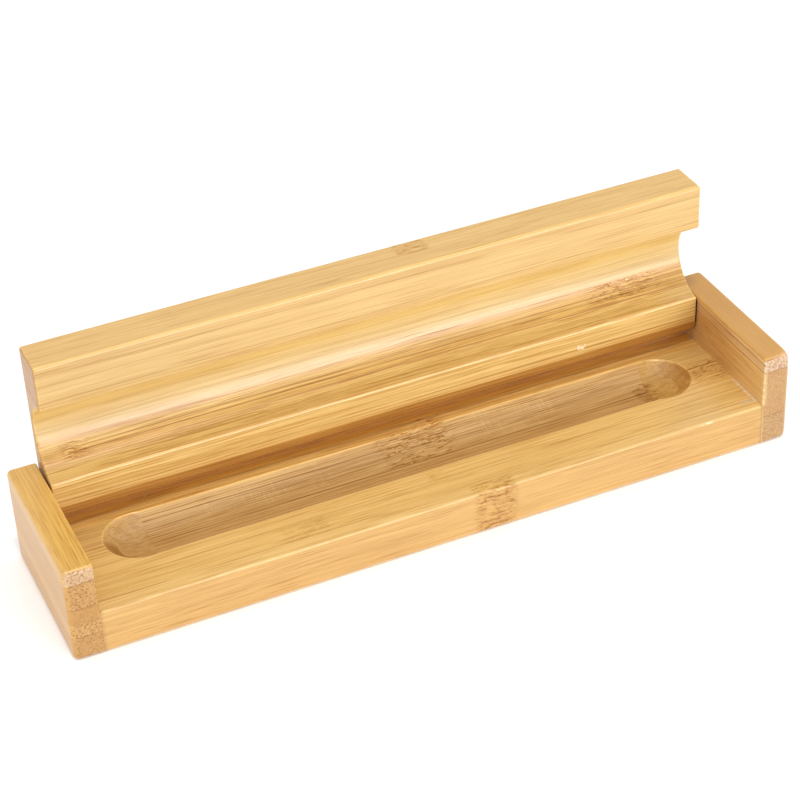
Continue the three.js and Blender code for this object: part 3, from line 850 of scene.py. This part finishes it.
lidBoard = {
    "axes": "xzy", "span": (13.0, 57.0), "stretch": 2.4, "sway": 0.7,
    "strips": [
        (13.0, tone(222, 172, 104)), (19.5, tone(226, 180, 112)), (26.6, tone(226, 180, 104)),
        (32.9, tone(228, 182, 112)), (39.7, tone(230, 188, 120)), (46.5, tone(232, 192, 128)),
        (53.4, tone(226, 184, 120))],
    "glueLines": [
        (53.4, 0.20, 0.8), (46.5, 0.20, 0.8), (39.7, 0.16, 0.5), (32.9, 0.16, 0.5),
        (29.3, 0.14, 0.4), (28.4, 0.18, 0.65), (27.6, 0.16, 0.6), (26.6, 0.16, 0.5),
        (22.9, 0.14, 0.4), (19.5, 0.2, 0.8), (18.6, 0.14, 0.7)],
    "wornTone": (1.2, 1.3, 1.45),
    "lively": [{"z": (13, 24.7)}, {"z": (24.7, 31), "y": (10.2, 20)}],
    "calm": [{"z": (44.0, 57), "amount": 0.35}, {"z": (31, 44), "y": (10.2, 20), "amount": 0.25}],
    "specks": [
        {"x": (49.6, 51.8, 0.2), "y": (9, 10.3), "z": (19.4, 20.8, 0.2),
         "tone": tone(252, 228, 190)}],
    "tints": [
        # painted sheen: from here to the broad strip below, the cove's pale band, where it mirrors
        # the low front lamp, is painted in whiter and bluer, with a few lighter and darker strips
        # shaping it
        {"z": (31.2, 36.5, 0.8), "y": (10.3, 20, 0.8), "by": (1.02, 1.21, 1.56)},
        {"z": (29.2, 31.2, 0.8), "y": (14, 20, 0.8), "by": (1.0, 0.99, 1.10)},
        {"z": (29.0, 29.5, 0.15), "y": (14, 20, 0.8), "by": (1.08, 1.12, 1.15)},
        {"z": (28.3, 29.7, 0.4), "y": (14, 20, 0.8), "x": (-84, 40, 20), "by": (1.01, 1.07, 1.18)},
        {"z": (29.7, 31.2, 0.6), "y": (14, 20, 0.8), "x": (-84, 30, 20), "by": (0.95, 0.95, 0.93)},
        {"z": (31.6, 33.0, 0.5), "y": (14, 20, 0.8), "by": (1.0, 1.01, 1.10)},
        {"z": (27.9, 28.15, 0.1), "y": (14, 20, 0.8), "by": (1.10, 1.14, 1.15)},
        {"z": (26.3, 28.0, 0.4), "y": (14, 20, 0.8), "x": (-45, 84, 15), "by": (0.93, 0.93, 0.76)},
        {"z": (27.5, 30.0, 0.5), "y": (14, 20, 0.8), "x": (-84, -30, 12), "by": (1.10, 1.16, 1.22)},
        {"z": (32.5, 45.0, 1.5), "y": (10.3, 20, 0.8), "x": (-30, 84, 30),
         "by": (1.06, 1.09, 1.10)},
        {"z": (24.0, 26.4), "y": (10.6, 18), "by": (0.86, 0.9, 0.78)},
        # painted sheen on the upper cove, paler and bluer
        {"z": (36.5, 44.5, 0.8), "y": (10.3, 20, 0.8), "by": (1.02, 1.17, 1.22)},
        {"z": (44.6, 55.5), "y": (9, 10.3), "by": (0.92, 0.94, 0.89)},
        {"z": (44.6, 55.5), "y": (9, 10.3), "x": (-84, -40, 18), "by": (0.93, 0.92, 0.90)},
        {"z": (17.75, 24.6), "y": (9, 10.3), "by": (1.04, 1.14, 1.12)},
        # painted shade on the rounded foot of the lid, which faces down
        {"z": (13, 18.1, 0.2), "y": (9, 14), "by": (0.64, 0.51, 0.28)},
        # painted shade: the lid's lower face darkens towards the right cheek
        {"z": (14, 19.6, 0.4), "y": (9, 10.3), "x": (58, 84, 4), "by": (0.92, 0.86, 0.72)},
        {"z": (55.5, 57), "by": (1.07, 1.07, 0.90)},
        {"x": (-84, -82.4, 0.2), "z": (44.6, 57), "by": (0.75, 0.53, 0.22)},
        {"x": (-84, -82.4, 0.2), "z": (22.5, 44.6), "by": (0.79, 0.62, 0.36)},
        {"z": (17.75, 24.6), "y": (9, 10.3), "x": (20, 84, 20), "by": (1.03, 1.05, 1.08)}],
    # painted shade in the slit between the lid's left end and the cheek
    "slits": [{"x": (-84, -82.6, 0.03), "z": (13, 23.0, 0.5)}], "paintedSlitShadeTone": tone(92, 40, 18, 1.0),
    "nodes": [
        {"along": (56, 76), "across": (27.0, 30.6), "strength": 0.8, "shade": 0.2, "soft": 4},
        {"along": (-77, -71), "across": (26.6, 29.6), "strength": 0.8, "shade": 0.2, "soft": 2},
        {"along": (6, 14), "across": (46.5, 57), "through": (15, 21), "strength": 0.6}],
}

leftCheekBoard = {
    "axes": "yzx", "span": (-1.0, 25.5),
    "dotTone": (0.66, 0.54, 0.40), "wornTone": (1.12, 1.16, 1.25),
    "calm": [{"x": (-91, -88.9), "z": (-1, 24.2)}],
    "ends": [
        {"y": (-22, -20.5), "z": (-1, 6.3), "amount": 0.6},
        {"y": (-22, -20.5), "z": (6.3, 9.9)},
        {"y": (-22, -20.5), "z": (13.95, 20.7)},
        {"y": (-22, -20.5), "z": (20.7, 25)}, {"y": (20.5, 22), "amount": 0.8}],
    "strips": [
        (-1.0, tone(206, 160, 108)), (6.3, tone(218, 174, 120)), (9.9, tone(210, 163, 106)),
        (13.95, tone(212, 166, 112)), (20.7, tone(222, 180, 128))],
    "glueLines": [(6.3, 0.18, 0.6), (9.9, 0.18, 0.6), (13.95, 0.18, 0.6), (20.7, 0.2, 0.7)],
    "tints": [
        {"z": (24.1, 26), "by": (1.05, 0.97, 0.44)},
        {"x": (-91, -89.4), "z": (-1, 24.1), "by": (1.16, 1.10, 0.76)},
        {"y": (-22, -20.4), "z": (-1, 20.7), "by": (0.86, 0.82, 0.57)},
        {"y": (-22, -20.4), "z": (9.9, 13.95), "by": (0.96, 0.93, 0.84)},
        {"y": (-22, -20.4), "z": (20.7, 24.1), "by": (0.87, 0.91, 1.06)}],
}

rightCheekBoard = {
    "axes": "yzx", "span": (-1.0, 25.5),
    "dotTone": (0.68, 0.55, 0.42), "wornTone": (1.12, 1.16, 1.25),
    # painted shade on the cheek's inner face, seen through the slit behind the lid
    "slits": [{"x": (82.9, 83.1, 0.05), "y": (10.5, 20.6), "z": (17.2, 23.6)}],
    "paintedSlitShadeTone": tone(120, 66, 30, 1.0),
    "calm": [{"x": (89.3, 91), "z": (-1, 24.2)}, {"z": (24.1, 26), "amount": 0.9}],
    "ends": [
        {"y": (-22, -20.5), "z": (-1, 8.1), "amount": 0.6},
        {"y": (-22, -20.5), "z": (8.1, 20.7), "amount": 0.15},
        {"y": (-22, -20.5), "z": (20.7, 23.9), "amount": 0.9}, {"y": (20.5, 22), "amount": 0.8}],
    "strips": [
        (-1.0, tone(212, 166, 112)), (8.1, tone(214, 166, 108)), (20.7, tone(222, 182, 138))],
    "glueLines": [(8.1, 0.2, 0.8), (20.7, 0.16, 0.7)],
    "tints": [
        {"z": (24.1, 26), "by": (0.93, 0.77, 0.32)},
        {"z": (24.1, 26), "y": (-2, 24, 9), "by": (0.92, 0.90, 0.80)},
        {"x": (82, 83.3), "z": (-1, 24.1), "by": (1.10, 1.10, 0.96)},
        # painted light: the inner face is paler towards the front, where more light reaches it than
        # deeper in beside the lid
        {"x": (82, 83.3), "y": (-30, -7, 6), "z": (-1, 24.1), "by": (1.17, 1.30, 1.45)},
        {"x": (82, 83.3), "z": (22.75, 23.05, 0.12), "by": (0.62, 0.46, 0.26)},
        {"x": (82, 83.3), "z": (21.7, 21.9, 0.12), "by": (0.72, 0.58, 0.40)},
        {"x": (82, 83.3), "z": (20.9, 21.05, 0.1), "by": (0.78, 0.66, 0.5)},
        {"x": (82.3, 83.9, 0.1), "y": (-21.2, -20.3, 0.1), "z": (11.4, 20.8),
         "by": (1.2, 1.4, 1.7)},
        {"y": (-22, -20.4), "z": (-1, 8.1), "by": (0.81, 0.84, 0.82)},
        {"y": (-22, -20.4), "z": (8.1, 20.7), "by": (0.79, 0.79, 0.74)},
        {"y": (-22, -20.4), "z": (20.7, 23.7, 0.15), "by": (0.91, 1.01, 1.25)},
        {"y": (-22, -20.4), "z": (23.8, 24.1, 0.1), "by": (0.68, 0.52, 0.34)}],
}


def steelMaterial():
    # Turned steel: fine rings round the pin in the roughness, hardly any in the colour
    shader = Shader("pin_steel")
    rings = shader.noise(shader.place(), (0.05, 2, 2))
    colour = shader.mix(rings, (0.52, 0.53, 0.54), (0.66, 0.67, 0.68))
    return shader.finish({
        "Base Color": colour, "Metallic": 1.0, "Roughness": rings * 0.15 + 0.28,
        "Normal": shader.bump(rings, 0.2, 0.01)})


stage = {
    "cameraPlace": (-0.1671103, -0.3956101, 0.3278701),
    "cameraTurn": (54.98059, 2.38216, -24.3524), "lens": 102.63565,
    "floorTone": 0.95, "floorGlow": 0.10, "floorReach": 4, "surround": 0.88,
    "lights": [
        {"name": "key_light", "place": (-0.10, -0.32, 1.15), "size": 0.16, "power": 3.9},
        {"name": "front_light", "place": (0.36, -1.2, 0.16), "size": 0.62, "power": 9.2}],
}


def makeStage():
    # A pale floor, a white surround and two soft lamps, seen by the camera from the front left
    shader = Shader("pale_floor")
    cloud = shader.noise(shader.place(), (90, 90, 90))
    level = stage["floorTone"]
    colour = shader.mix(cloud, (level, level, level), (level * 0.99, level * 0.99, level * 0.99))
    material = shader.finish({
        "Base Color": colour, "Roughness": 0.7, "Specular IOR Level": 0.2,
        "Emission Color": (1.0, 1.0, 1.0), "Emission Strength": stage["floorGlow"]})
    reach = np.linspace(-stage["floorReach"], stage["floorReach"], 9)
    gridX, gridY = np.meshgrid(reach, reach, indexing="ij")
    points = np.stack([gridX, gridY, np.zeros_like(gridX)], -1).reshape(-1, 3)
    index = np.arange(gridX.size).reshape(gridX.shape)
    mesh = bpy.data.meshes.new("floor")
    mesh.from_pydata(points.tolist(), [], gridFaces(index))
    mesh.materials.append(material)
    floor = bpy.data.objects.new("floor", mesh)
    bpy.context.scene.collection.objects.link(floor)

    world = bpy.data.worlds.new("studio")
    world.use_nodes = True
    world.node_tree.nodes["Background"].inputs["Color"].default_value = (1, 1, 1, 1)
    world.node_tree.nodes["Background"].inputs["Strength"].default_value = stage["surround"]
    bpy.context.scene.world = world
    bpy.context.scene.view_settings.view_transform = "Standard"

    for lamp in stage["lights"]:
        data = bpy.data.lights.new(lamp["name"], "AREA")
        data.shape = "DISK"
        data.size = lamp["size"]
        data.energy = lamp["power"]
        light = bpy.data.objects.new(lamp["name"], data)
        light.location = lamp["place"]
        aim = -light.location
        light.rotation_mode = "QUATERNION"
        light.rotation_quaternion = aim.to_track_quat("-Z", "Y")
        bpy.context.scene.collection.objects.link(light)

    data = bpy.data.cameras.new("camera")
    data.sensor_width = 36
    data.lens = stage["lens"]
    data.clip_start = 0.01
    camera = bpy.data.objects.new("camera", data)
    camera.location = stage["cameraPlace"]
    camera.rotation_euler = [math.radians(angle) for angle in stage["cameraTurn"]]
    bpy.context.scene.collection.objects.link(camera)
    bpy.context.scene.camera = camera


makeStage()
print("stage is set")
makeBase(bambooMaterial("base_bamboo", baseBoard))
makeCheek("cheek_board_left", -1, "cheek_left",
          bambooMaterial("left_cheek_bamboo", leftCheekBoard))
makeCheek("cheek_board_right", 1, "cheek_right",
          bambooMaterial("right_cheek_bamboo", rightCheekBoard))
makeLid(bambooMaterial("lid_bamboo", lidBoard))
pinSteel = steelMaterial()
for pinName in ("hinge_pin_left", "hinge_pin_right"):
    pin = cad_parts[pinName]
    for materialSlot in pin.material_slots:
        materialSlot.material = pinSteel
print("pieces are made")
